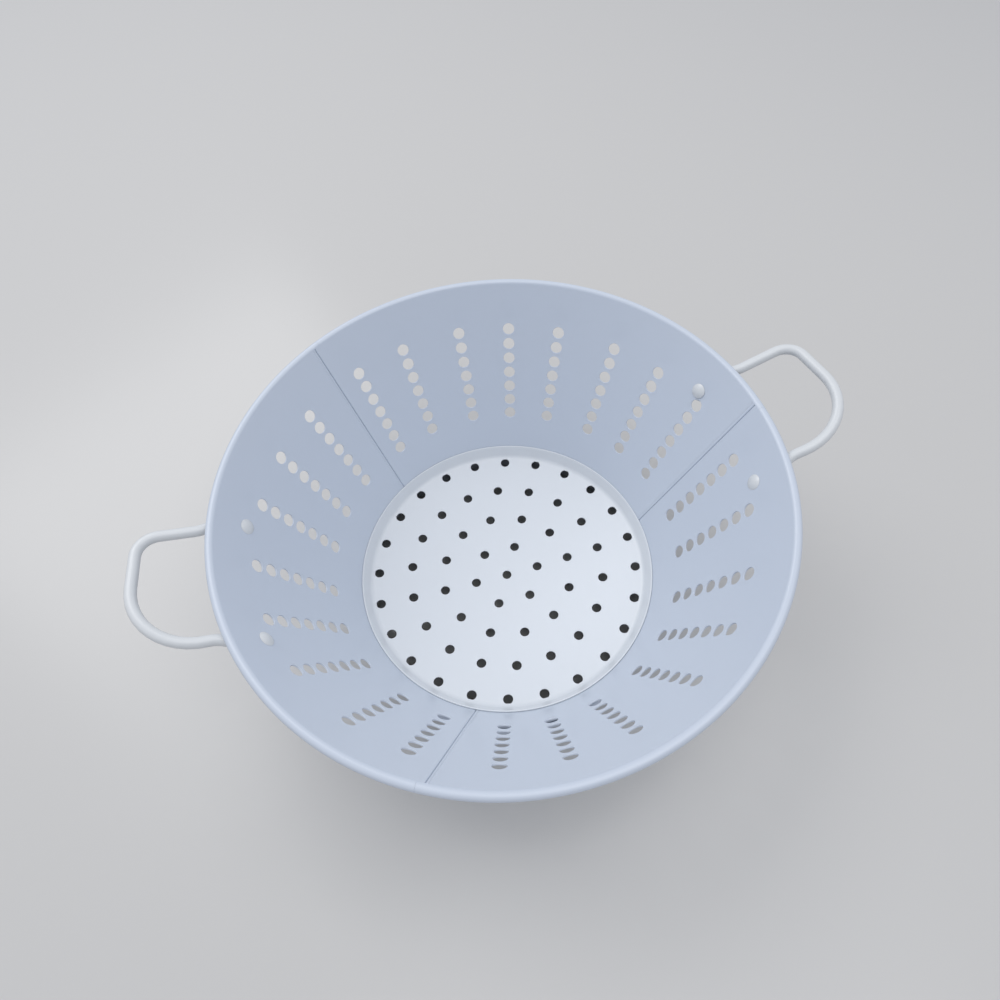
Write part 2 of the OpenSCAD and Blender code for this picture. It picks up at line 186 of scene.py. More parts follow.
class BowlShape:
    """Places on the bowl, worked out from its sizes."""

    def __init__(self, b):
        self.b = b
        self.cos_a, self.sin_a = cos(b.wall_a), sin(b.wall_a)
        self.hollow_r = b.rim_wire_d / 2 + b.fit_gap
        self.bead_r = self.hollow_r + b.sheet_t
        self.bead = Vector((b.rim_d / 2 - self.bead_r, b.pan_h + b.depth))
        self.face = self.bead[0] * self.cos_a - self.bead[1] * self.sin_a - self.bead_r
        self.rim_s = self.bead[0] * self.sin_a + self.bead[1] * self.cos_a
        self.lip_s = self.slope_at(b.pan_h + b.lip_h)
        self.foot_s = self.lip_s - b.wall_tail
        self.collar_s = self.foot_s + b.collar_h
        self.hole_s = self.slope_at(b.pan_h + b.hole_low)
        self.dish_r = ((b.ring_count * b.ring_pitch) ** 2 + b.pan_rise**2) / (2 * b.pan_rise)
        self.dish_z = b.pan_h + self.dish_r
        self.panel_a = 2 * pi / len(PANELS)

    def slope_at(self, z):
        """The place up the wall's inner face that has the height z"""
        return (z + self.face * self.sin_a) / self.cos_a

    def rz(self, c, s):
        """Radius and height of a place c across and s up the wall"""
        return Vector((c * self.cos_a + s * self.sin_a, s * self.cos_a - c * self.sin_a))

    def radius(self, s):
        """Radius of the wall's inner face at s"""
        return self.rz(self.face, s)[0]

    def column_angles(self):
        """The angle of each column of holes before the panel's end"""
        b = self.b
        extra = b.group_pitch - b.column_pitch
        return [
            b.column_first + i * b.column_pitch + extra * ((i >= b.second_group) + (i >= b.third_group))
            for i in range(b.columns)
        ]


def arc(centre, radius, start, end, steps):
    """Points along an arc in a half-plane, both ends included"""
    return [
        Vector(centre) + radius * Vector((cos(start + (end - start) * i / steps), sin(start + (end - start) * i / steps)))
        for i in range(steps + 1)
    ]


# Geometry node trees


class Value:
    """A number in a node tree. Arithmetic on it adds the math nodes."""

    def __init__(self, tree, socket):
        self.tree, self.socket = tree, socket

    def op(self, kind, *others):
        node = self.tree.nodes.new("ShaderNodeMath")
        node.operation = kind
        for slot, item in zip(node.inputs, (self,) + others):
            plug(self.tree, item, slot)
        return Value(self.tree, node.outputs[0])

    def __add__(self, other):
        return self.op("ADD", other)

    def __sub__(self, other):
        return self.op("SUBTRACT", other)

    def __mul__(self, other):
        return self.op("MULTIPLY", other)

    def __truediv__(self, other):
        return self.op("DIVIDE", other)

    def __neg__(self):
        return self.op("MULTIPLY", -1.0)

    def __rsub__(self, other):
        return (-self) + other

    __radd__, __rmul__ = __add__, __mul__

    def ramp(self, low, high):
        """0 at low and 1 at high, with soft ends"""
        node = self.tree.nodes.new("ShaderNodeMapRange")
        node.interpolation_type = "SMOOTHSTEP"
        for slot, item in zip(node.inputs, (self, low, high, 0.0, 1.0)):
            plug(self.tree, item, slot)
        return Value(self.tree, node.outputs[0])


def plug(tree, item, slot):
    """Links or sets one input"""
    if isinstance(item, Value):
        tree.links.new(item.socket, slot)
    elif isinstance(item, bpy.types.NodeSocket):
        tree.links.new(item, slot)
    else:
        slot.default_value = item


def add(tree, kind, inputs=None, **settings):
    """Adds a node with its settings and inputs by name or number"""
    node = tree.nodes.new(kind)
    for name, value in settings.items():
        setattr(node, name, value)
    for key, item in (inputs or {}).items():
        plug(tree, item, node.inputs[key])
    return node


def parts_of(tree, vector):
    """The x, y and z of a vector"""
    node = add(tree, "ShaderNodeSeparateXYZ", {0: vector})
    return [Value(tree, out) for out in node.outputs]


def joined(tree, x, y, z):
    return add(tree, "ShaderNodeCombineXYZ", {0: x, 1: y, 2: z}).outputs[0]


class Growth:
    """A geometry node tree with named inputs."""

    def __init__(self, name, **inputs):
        self.tree = bpy.data.node_groups.new(name, "GeometryNodeTree")
        face = self.tree.interface
        face.new_socket("Geometry", in_out="INPUT", socket_type="NodeSocketGeometry")
        self.ids = {}
        for label, kind in inputs.items():
            socket = face.new_socket(label.replace("_", " ").capitalize(), in_out="INPUT", socket_type="NodeSocket" + kind)
            self.ids[label] = socket.identifier
        face.new_socket("Geometry", in_out="OUTPUT", socket_type="NodeSocketGeometry")
        self.source = self.tree.nodes.new("NodeGroupInput")

    def start(self):
        return self.source.outputs[0]

    def given(self, label):
        found = next(o for o in self.source.outputs if o.identifier == self.ids[label])
        return Value(self.tree, found)

    def add(self, kind, inputs=None, **settings):
        return add(self.tree, kind, inputs, **settings)

    def field(self, name, kind="FLOAT"):
        node = self.add("GeometryNodeInputNamedAttribute", {"Name": name}, data_type=kind)
        return Value(self.tree, node.outputs[0])

    def index(self):
        return Value(self.tree, self.add("GeometryNodeInputIndex").outputs[0])

    def position(self):
        return parts_of(self.tree, self.add("GeometryNodeInputPosition").outputs[0])

    def store(self, geometry, name, value, domain="POINT"):
        node = self.add(
            "GeometryNodeStoreNamedAttribute", {"Geometry": geometry, "Name": name},
            data_type="FLOAT", domain=domain,
        )
        plug(self.tree, value, next(s for s in node.inputs if s.name == "Value" and s.enabled))
        return node.outputs[0]

    def place(self, geometry, x, y, z):
        spot = joined(self.tree, x, y, z)
        return self.add("GeometryNodeSetPosition", {"Geometry": geometry, "Position": spot}).outputs[0]

    def object(self, label):
        return self.add("GeometryNodeObjectInfo", {"Object": self.given(label)}).outputs["Geometry"]

    def join(self, *geometries):
        node = self.add("GeometryNodeJoinGeometry")
        for g in geometries:
            self.tree.links.new(g, node.inputs[0])
        return node.outputs[0]

    def finish(self, geometry, weld=WELD):
        """Makes the result real, welds it and gives it its material"""
        real = self.add("GeometryNodeRealizeInstances", {0: geometry}).outputs[0]
        welded = self.add("GeometryNodeMergeByDistance", {"Geometry": real, "Distance": weld}).outputs[0]
        done = self.add("GeometryNodeSetMaterial", {"Geometry": welded, "Material": self.given("material")})
        out = self.tree.nodes.new("NodeGroupOutput")
        self.tree.links.new(done.outputs[0], out.inputs[0])
        return self


def turned(growth, line, start, sweep, steps):
    """Sweeps a line of points (radius, 0, height) about Z through steps equal turns"""
    count = growth.add("GeometryNodeAttributeDomainSize", {0: line}).outputs[0]
    rows = steps + 1
    grid = growth.add("GeometryNodeMeshGrid", {"Vertices X": count, "Vertices Y": rows}).outputs[0]
    index = growth.index()
    step = index.op("MODULO", rows)
    point = (index / rows).op("FLOOR")
    sample = growth.add(
        "GeometryNodeSampleIndex",
        {"Geometry": line, "Index": point}, data_type="FLOAT_VECTOR",
    )
    spot = growth.add("GeometryNodeInputPosition").outputs[0]
    growth.tree.links.new(spot, next(s for s in sample.inputs if s.name == "Value" and s.enabled))
    x, _, z = parts_of(growth.tree, next(s for s in sample.outputs if s.enabled))
    turn = start + sweep * step / steps
    return growth.place(grid, x * turn.op("COSINE"), x * turn.op("SINE"), z)


def wall_growth():
    """Drain holes in columns up a flat panel, and the panel bent round the bowl"""
    g = Growth(
        "Perforated wall panel", collar="Object", rim="Object", fold="Object", finish="Float", rows="Int", columns="Int",
        second_group="Int", third_group="Int", column_first="Float", column_pitch="Float", group_pitch="Float",
        hole_pitch="Float", hole_s="Float", wall_a="Float", face="Float", start="Float", sweep="Float",
        rim_steps="Int", dent_depth="Float", dent_width="Float", material="Material",
    )
    rows = g.given("rows")
    points = g.add("GeometryNodePoints", {"Count": g.given("columns") * rows}).outputs[0]
    column = (g.index() / rows).op("FLOOR")
    row = g.index().op("MODULO", rows)
    past_second = column.op("GREATER_THAN", g.given("second_group") - 0.5)
    past_third = column.op("GREATER_THAN", g.given("third_group") - 0.5)
    extra = (g.given("group_pitch") - g.given("column_pitch")) * (past_second + past_third)
    turn = g.given("finish") - g.given("column_first") - column * g.given("column_pitch") - extra
    placed = g.place(points, 0.0, g.given("hole_s") + row * g.given("hole_pitch"), 0.0)
    marked = g.store(placed, "turn", turn)
    holes = g.add("GeometryNodeInstanceOnPoints", {"Points": marked, "Instance": g.object("collar")}).outputs[0]
    flat = g.add("GeometryNodeRealizeInstances", {0: g.join(g.start(), holes, g.object("fold"))}).outputs[0]
    x, s, c = g.position()
    sin_a, cos_a = g.given("wall_a").op("SINE"), g.given("wall_a").op("COSINE")
    low, high = g.given("hole_s"), g.given("hole_s") + (rows - 1) * g.given("hole_pitch")
    reach = s.ramp(low - 0.012, low + 0.004) * (1 - s.ramp(high + 0.004, high + 0.016))
    aside = g.field("aside") / g.given("dent_width")
    dent = g.given("dent_depth") * (aside * aside * -1.0).op("EXPONENT") * reach
    across = c + g.given("face") + dent
    radius = across * cos_a + s * sin_a
    height = s * cos_a - across * sin_a
    round_by = g.field("turn") + x / (g.given("face") * cos_a + s * sin_a)
    bent = g.place(flat, radius * round_by.op("COSINE"), radius * round_by.op("SINE"), height)
    rim = turned(g, g.object("rim"), g.given("start"), g.given("sweep"), g.given("rim_steps"))
    return g.finish(g.join(bent, rim))


def pan_growth():
    """Rings of drain holes in a flat disc, the disc dished, and its lip turned up"""
    g = Growth(
        "Perforated pan", collar="Object", lip="Object", rings="Int", ring_pitch="Float", pan_turn="Float",
        dish_r="Float", dish_z="Float", lip_steps="Int", material="Material",
    )
    # Ring n has 6n holes, so the holes before it are 1 + 3n(n - 1)
    rings = g.given("rings")
    index = g.index()
    points = g.add("GeometryNodePoints", {"Count": 1 + 3 * rings * (rings + 1)}).outputs[0]
    ring = ((index - 0.5) / 3 + 0.25).op("MAXIMUM", 0.0).op("SQRT").op("ADD", 0.5).op("FLOOR")
    ring = ring * index.op("GREATER_THAN", 0.5)
    first = 1 + 3 * ring * (ring - 1)
    turn = g.given("pan_turn") + (index - first) * (pi / 3) / ring.op("MAXIMUM", 1.0)
    out = ring * g.given("ring_pitch")
    placed = g.place(points, out * turn.op("COSINE"), out * turn.op("SINE"), 0.0)
    holes = g.add("GeometryNodeInstanceOnPoints", {"Points": placed, "Instance": g.object("collar")}).outputs[0]
    flat = g.add("GeometryNodeRealizeInstances", {0: g.join(g.start(), holes)}).outputs[0]
    x, y, depth = g.position()
    ball = g.given("dish_r") + depth
    height = g.given("dish_z") - (ball * ball - x * x - y * y).op("SQRT")
    dished = g.place(flat, x, y, height)
    lip = turned(g, g.object("lip"), 0.0, 2 * pi, g.given("lip_steps"))
    return g.finish(g.join(dished, lip))


def ring_growth():
    """A line of points turned right round"""
    g = Growth("Turned ring", line="Object", steps="Int", material="Material")
    return g.finish(turned(g, g.object("line"), 0.0, 2 * pi, g.given("steps")))


def wire_growth():
    """A round wire along a path, with the flattening that the path's points ask for"""
    g = Growth("Bent wire", sides="Int", material="Material")
    place = g.add("GeometryNodeInputPosition").outputs[0]
    node = g.add(
        "GeometryNodeStoreNamedAttribute", {"Geometry": g.start(), "Name": "middle"},
        data_type="FLOAT_VECTOR", domain="POINT",
    )
    plug(g.tree, place, next(s for s in node.inputs if s.name == "Value" and s.enabled))
    path = g.add("GeometryNodeMeshToCurve", {0: node.outputs[0]}).outputs[0]
    circle = g.add("GeometryNodeCurvePrimitiveCircle", {"Resolution": g.given("sides"), "Radius": 1.0}).outputs[0]
    tube = g.add(
        "GeometryNodeCurveToMesh", {"Curve": path, "Profile Curve": circle, "Fill Caps": True}
    ).outputs[0]
    wide, thin = g.field("wide", "FLOAT_VECTOR"), g.field("thin", "FLOAT_VECTOR")
    middle = g.field("middle", "FLOAT_VECTOR")

    def vector(kind, a, b):
        joint = g.add("ShaderNodeVectorMath", {0: a, 1: b}, operation=kind)
        return joint.outputs["Value" if kind == "DOT_PRODUCT" else "Vector"]

    def scaled(a, by):
        return g.add("ShaderNodeVectorMath", {0: a, "Scale": by}, operation="SCALE").outputs[0]

    offset = vector("SUBTRACT", g.add("GeometryNodeInputPosition").outputs[0], middle)
    out_wide = Value(g.tree, vector("DOT_PRODUCT", offset, wide)) * g.field("half_width")
    out_thin = Value(g.tree, vector("DOT_PRODUCT", offset, thin)) * g.field("half_thick")
    spot = vector("ADD", vector("ADD", middle, scaled(wide, out_wide)), scaled(thin, out_thin))
    formed = g.add("GeometryNodeSetPosition", {"Geometry": tube, "Position": spot}).outputs[0]
    return g.finish(formed)


def rivet_growth():
    """A turned rivet, set square to the wall"""
    g = Growth("Rivet", line="Object", steps="Int", place="Vector", tilt="Vector", material="Material")
    rivet = turned(g, g.object("line"), 0.0, 2 * pi, g.given("steps"))
    set_in = g.add(
        "GeometryNodeTransform", {"Geometry": rivet, "Translation": g.given("place"), "Rotation": g.given("tilt")}
    ).outputs[0]
    return g.finish(set_in)


# Meshes that the trees start from


def new_mesh(name, points, edges=(), faces=()):
    mesh = bpy.data.meshes.new(name)
    mesh.from_pydata([tuple(p) for p in points], list(edges), list(faces))
    return mesh


def new_object(name, mesh):
    made = bpy.data.objects.new(name, mesh)
    bpy.context.scene.collection.objects.link(made)
    return made


def helper_line(name, line):
    """A helper object that holds a line of (radius, height) points"""
    mesh = new_mesh(name, [(p[0], 0, p[1]) for p in line], [(i, i + 1) for i in range(len(line) - 1)])
    return new_object(name, mesh)


def set_numbers(mesh, name, numbers):
    layer = mesh.attributes.new(name, "FLOAT", "POINT")
    layer.data.foreach_set("value", [float(n) for n in numbers])


def set_vectors(mesh, name, vectors):
    layer = mesh.attributes.new(name, "FLOAT_VECTOR", "POINT")
    layer.data.foreach_set("vector", [float(n) for v in vectors for n in v])


def collar_line(hole_r, collar_r, sheet_t):
    """Section of the sheet round a hole, from the inside face through the hole to the outside: radius and depth"""
    lip, turn = 0.06 * MM, 0.22 * MM
    return [
        (collar_r, 0), (hole_r + 2.2 * turn, -0.3 * lip), (hole_r + 1.3 * turn, -lip), (hole_r + 0.3 * turn, 0.2 * turn),
        (hole_r, turn), (hole_r, sheet_t - turn), (hole_r + 0.4 * turn, sheet_t), (collar_r, sheet_t),
    ]


def collar(name, hole_r, collar_r, sheet_t, sides):
    """The sheet round one hole, with its rounded edges"""
    line = collar_line(hole_r, collar_r, sheet_t)
    points, faces, aside, from_hole = [], [], [], []
    for r, depth in line:
        for k in range(sides):
            a = 2 * pi * k / sides
            points.append((r * cos(a), r * sin(a), depth))
            aside.append(abs(r * cos(a)))
            from_hole.append(r - hole_r)
    for i in range(len(line) - 1):
        for k in range(sides):
            n = (k + 1) % sides
            faces.append((i * sides + k, i * sides + n, (i + 1) * sides + n, (i + 1) * sides + k))
    mesh = new_mesh(name, points, (), faces)
    set_numbers(mesh, "aside", aside)
    set_numbers(mesh, "from_hole", from_hole)
    return new_object(name, mesh)


class Blank:
    """A flat sheet with round openings, triangulated in plan. Each point has a plan place and other values."""

    def __init__(self):
        self.plan, self.data, self.edges, self.ring_of = [], [], [], {}

    def point(self, plan, data):
        self.plan.append(Vector(plan))
        self.data.append(data)
        return len(self.plan) - 1

    def chain(self, plans_and_data, closed=False):
        """A row of points with an edge from each to the next"""
        ids = [self.point(*item) for item in plans_and_data]
        self.edges += [(a, b) for a, b in zip(ids, ids[1:])]
        if closed:
            self.edges.append((ids[-1], ids[0]))
        return ids

    def opening(self, number, items):
        for i in self.chain(items, closed=True):
            self.ring_of[i] = number

    def triangles(self):
        """Triangles outside the openings, each turned the same way"""
        found = delaunay_2d_cdt(self.plan, self.edges, [], 0, 1e-9)
        if len(found[0]) != len(self.plan):
            raise RuntimeError("points of a sheet coincide")
        back = [group[0] for group in found[3]]
        kept = []
        for tri in found[2]:
            a, b, c = (back[i] for i in tri)
            rings = {self.ring_of.get(i) for i in (a, b, c)}
            if len(rings) == 1 and None not in rings:
                continue
            kept.append((a, b, c))
        return kept


def two_sided(name, blank, inner, outer, drop=lambda tri: False):
    """Both faces of a blank and the strip round its border, as one mesh"""
    triangles = [t for t in blank.triangles() if not drop(t)]
    count = len(blank.plan)
    points = [inner(d) for d in blank.data] + [outer(d) for d in blank.data]
    uses = {}
    for a, b, c in triangles:
        for i, j in ((a, b), (b, c), (c, a)):
            uses[frozenset((i, j))] = uses.get(frozenset((i, j)), 0) + 1
    faces = list(triangles) + [(c + count, b + count, a + count) for a, b, c in triangles]
    for pair, used in uses.items():
        i, j = tuple(pair)
        same_hole = blank.ring_of.get(i) is not None and blank.ring_of.get(i) == blank.ring_of.get(j)
        if used == 1 and not same_hole and not (blank.data[i].get("open") and blank.data[j].get("open")):
            faces.append((i, j, j + count, i + count))
    return new_mesh(name, points, (), faces)


# Finishing


def grow(name, mesh, growth, **values):
    """Runs a tree over a mesh and gives back its result as a plain, closed mesh with outward faces"""
    piece = new_object(name, mesh)
    modifier = piece.modifiers.new(growth.tree.name, "NODES")
    modifier.node_group = growth.tree
    for label, value in values.items():
        modifier[growth.ids[label]] = value
    piece.update_tag()
    graph = bpy.context.evaluated_depsgraph_get()
    graph.update()
    made = bpy.data.meshes.new_from_object(piece.evaluated_get(graph), preserve_all_data_layers=True, depsgraph=graph)
    piece.modifiers.clear()
    piece.data = made
    made.name = name
    close_up(made)
    return piece


def close_up(mesh):
    """Fills what is left open, turns faces outward and shades smooth with crisp folds"""
    work = bmesh.new()
    work.from_mesh(mesh)
    bmesh.ops.remove_doubles(work, verts=work.verts, dist=WELD)
    bmesh.ops.delete(work, geom=[v for v in work.verts if not v.link_faces], context="VERTS")
    open_edges = [e for e in work.edges if len(e.link_faces) == 1]
    if open_edges:
        made = bmesh.ops.holes_fill(work, edges=open_edges, sides=0)["faces"]
        bmesh.ops.triangulate(work, faces=made)
    bmesh.ops.recalc_face_normals(work, faces=work.faces)
    left = sum(1 for e in work.edges if len(e.link_faces) != 2)
    if left:
        print(f"{mesh.name}: {left} edges are not closed")
    work.to_mesh(mesh)
    work.free()
    mesh.shade_smooth()
    mesh.set_sharp_from_angle(angle=radians(38))


def drop_helpers(*helpers):
    for helper in helpers:
        mesh = helper.data
        bpy.data.objects.remove(helper)
        if mesh.users == 0:
            bpy.data.meshes.remove(mesh)


def settle(piece, slot, *nodes):
    """The piece rides on the body and stands for its nodes"""
    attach(piece, BODY)
    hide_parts(*nodes)


# Materials


def plain_enamel(name, rgb):
    material = bpy.data.materials.new(name)
    material.use_nodes = True
    shader = material.node_tree.nodes["Principled BSDF"]
    shader.inputs["Base Color"].default_value = (*rgb, 1)
    shader.inputs["Roughness"].default_value = 0.25
    return material


# Pieces


class PieceMaker:
    """What the operators share: the sizes and shapes of the bowl."""

    bl_options = {"REGISTER", "UNDO"}

    def sizes(self, context):
        scene = context.scene
        return scene.colander_bowl, scene.colander_handles, scene.colander_colours


COLLAR_SIDES = 24


def wall_blank(name, shape, start, finish):
    """One wall panel laid flat: x beside a line at `turn`, y up the slope, z outward from the inner face"""
    b = shape.b
    blank = Blank()
    plan_r = shape.radius((shape.foot_s + shape.rim_s) / 2)
    collar_r = b.hole_d / 2 + 0.75 * MM
    half_w = b.seam_w / 2
    top_s = shape.rim_s + 0.15 * MM
    columns = [finish - a for a in shape.column_angles()]
    centres = [(t, shape.hole_s + i * b.hole_pitch) for t in columns for i in range(b.hole_rows)]

    def spot(turn, s, x=0.0, **data):
        whole = turn + x / shape.radius(s)
        near = min(columns, key=lambda t: abs(whole - t))
        aside = abs(whole - near) * shape.radius(s)
        gap = min(hypot((whole - t) * shape.radius(s), s - hs) for t, hs in centres) - b.hole_d / 2
        data.update(turn=whole, s=s, aside=aside, gap=min(gap, 20 * MM), x=x)
        return (whole * plan_r, s), data

    for number, (turn, s) in enumerate(centres):
        ring = [2 * pi * k / COLLAR_SIDES for k in range(COLLAR_SIDES)]
        blank.opening(number, [spot(turn, s + collar_r * sin(a), collar_r * cos(a), depth=0.0) for a in ring])

    # The first panel edge steps up into a narrow lip beside the groove; the last edge is bevelled
    web = half_w + b.fold_gap
    start_lines = ((web, 0.45), (web + 0.25 * MM, 0.02), (web + 0.5 * MM, -0.12), (web + 0.95 * MM, -0.12),
                   (web + 1.3 * MM, 0.13), (web + 1.7 * MM, 0.0), (web + 3 * MM, 0.0))
    finish_lines = ((half_w, 0.45), (half_w - 0.3 * MM, 0.06), (half_w - 0.6 * MM, 0.0), (half_w - 2 * MM, 0.0))
    step = 3.2 * MM
    rows = ceil((top_s - shape.foot_s) / step)
    levels = [shape.foot_s + (top_s - shape.foot_s) * j / rows for j in range(rows + 1)]
    for side, turn, lines in (("start", start, start_lines), ("finish", finish, finish_lines)):
        for n, (x, depth) in enumerate(lines):
            blank.chain([spot(turn, s, x, depth=depth * MM, edge=side if n == 0 else None) for s in levels])
    first = start + (web + 5.5 * MM) / shape.radius(shape.foot_s)
    last = finish + (half_w - 4.5 * MM) / shape.radius(shape.rim_s)
    count = ceil((last - first) / radians(2))
    turns = [first + (last - first) * k / count for k in range(count + 1)]
    clear = collar_r + 0.9 * MM
    for j, s in enumerate(levels):
        shift = 0.5 * (last - first) / count if j % 2 and 0 < j < rows else 0.0
        row = []
        for turn in turns:
            item = spot(turn + shift, s, depth=0.0)
            at = item[1]["turn"]
            if at * 1.0 > last + 1e-6 or (at - start) * shape.radius(s) < web + 4 * MM:
                continue
            if (finish - at) * shape.radius(s) < -half_w + 3 * MM:
                continue
            if item[1]["gap"] > clear - b.hole_d / 2:
                row.append(item)
        if j in (0, rows):
            blank.chain(row)
        else:
            for item in row:
                blank.point(*item)
    return blank, collar_r


class MESH_OT_colander_walls(PieceMaker, bpy.types.Operator):
    """Make the three wall panels with their holes, seams and rolled rims"""

    bl_idname = "mesh.colander_walls"
    bl_label = "Wall panels"

    def execute(self, context):
        b, _, colours = self.sizes(context)
        shape = BowlShape(b)
        growth = wall_growth()
        finish_coat = wall_material(colours, b, shape)
        rim = helper_line("rim_section", self.rim_section(shape))
        fold = self.fold_band(shape)
        for index, node in enumerate(PANELS):
            start = b.seam_turn + index * shape.panel_a
            finish = start + shape.panel_a
            blank, collar_r = wall_blank(node, shape, start, finish)
            hole = collar("wall_hole", b.hole_d / 2, collar_r, b.sheet_t, COLLAR_SIDES)
            under = b.fold_t

            def outer(d):
                thin = d["turn"] * 1.0 > finish - b.seam_w / shape.radius(d["s"])
                return (0, d["s"], under if thin else b.sheet_t)

            def drop(tri, data=blank.data):
                edges = {data[i]["edge"] if "edge" in data[i] else None for i in tri}
                return len(edges) == 1 and None not in edges

            mesh = two_sided(node, blank, lambda d: (0, d["s"], d["depth"]), outer, drop)
            for name, key in (("turn", "turn"), ("aside", "aside"), ("from_hole", "gap")):
                set_numbers(mesh, name, [d[key] for d in blank.data] * 2)
            self.turn_fold(fold, start)
            piece = grow(
                node + "_enamelled", mesh, growth, collar=hole, rim=rim, fold=fold, finish=finish, rows=b.hole_rows,
                columns=b.columns, second_group=b.second_group, third_group=b.third_group,
                column_first=b.column_first, column_pitch=b.column_pitch, group_pitch=b.group_pitch,
                hole_pitch=b.hole_pitch, hole_s=shape.hole_s, wall_a=b.wall_a, face=shape.face,
                start=start + 0.0002, sweep=shape.panel_a - 0.0004, rim_steps=80, dent_depth=0.35 * MM,
                dent_width=4.2 * MM, material=finish_coat,
            )
            settle(piece, "wall_enamel", node)
            drop_helpers(hole)
        drop_helpers(rim, fold)
        return {"FINISHED"}

    def rim_section(self, shape):
        """The sheet rolled round the rim wire, as a closed line"""
        b = shape.b
        top = pi - b.wall_a
        outside = arc(shape.bead, shape.bead_r, top, top - b.rim_roll_a, 30)
        inside = arc(shape.bead, shape.hollow_r, top - b.rim_roll_a, top, 20)
        return outside + inside + outside[:1]

    def fold_band(self, shape):
        """The folded layers outside a seam, as one band with rounded edges, laid flat"""
        b = shape.b
        layer = b.fold_t + b.fold_gap
        low, high = layer, 3 * layer + b.fold_t
        left, right, soft = -b.seam_w / 2, b.seam_w / 2 + b.fold_gap + b.fold_t, 0.35 * MM
        section = [(left, low), (left, high - soft), (left + 0.3 * soft, high - 0.3 * soft), (left + soft, high),
                   (right - soft, high), (right - 0.3 * soft, high - 0.3 * soft), (right, high - soft),
                   (right + 0.5 * soft, b.sheet_t + 0.4 * soft), (right + 1.6 * soft, b.sheet_t - 0.02 * MM), (right, low)]
        steps = 40
        first, last = shape.collar_s + b.fit_gap, shape.rim_s - shape.bead_r - b.fit_gap
        points, faces, width = [], [], len(section)
        for j in range(steps + 1):
            points += [(x, first + (last - first) * j / steps, c) for x, c in section]
        for j in range(steps):
            for k in range(width):
                n = (k + 1) % width
                faces.append((j * width + k, j * width + n, (j + 1) * width + n, (j + 1) * width + k))
        faces += [tuple(range(width)), tuple(steps * width + k for k in reversed(range(width)))]
        mesh = new_mesh("fold_band", points, (), faces)
        set_numbers(mesh, "turn", [0.0] * len(points))
        set_numbers(mesh, "aside", [20 * MM] * len(points))
        set_numbers(mesh, "from_hole", [20 * MM] * len(points))
        return new_object("fold_band", mesh)

    def turn_fold(self, fold, start):
        layer = fold.data.attributes["turn"]
        layer.data.foreach_set("value", [start] * len(layer.data))
        fold.data.update()


LIP_STEPS = 144


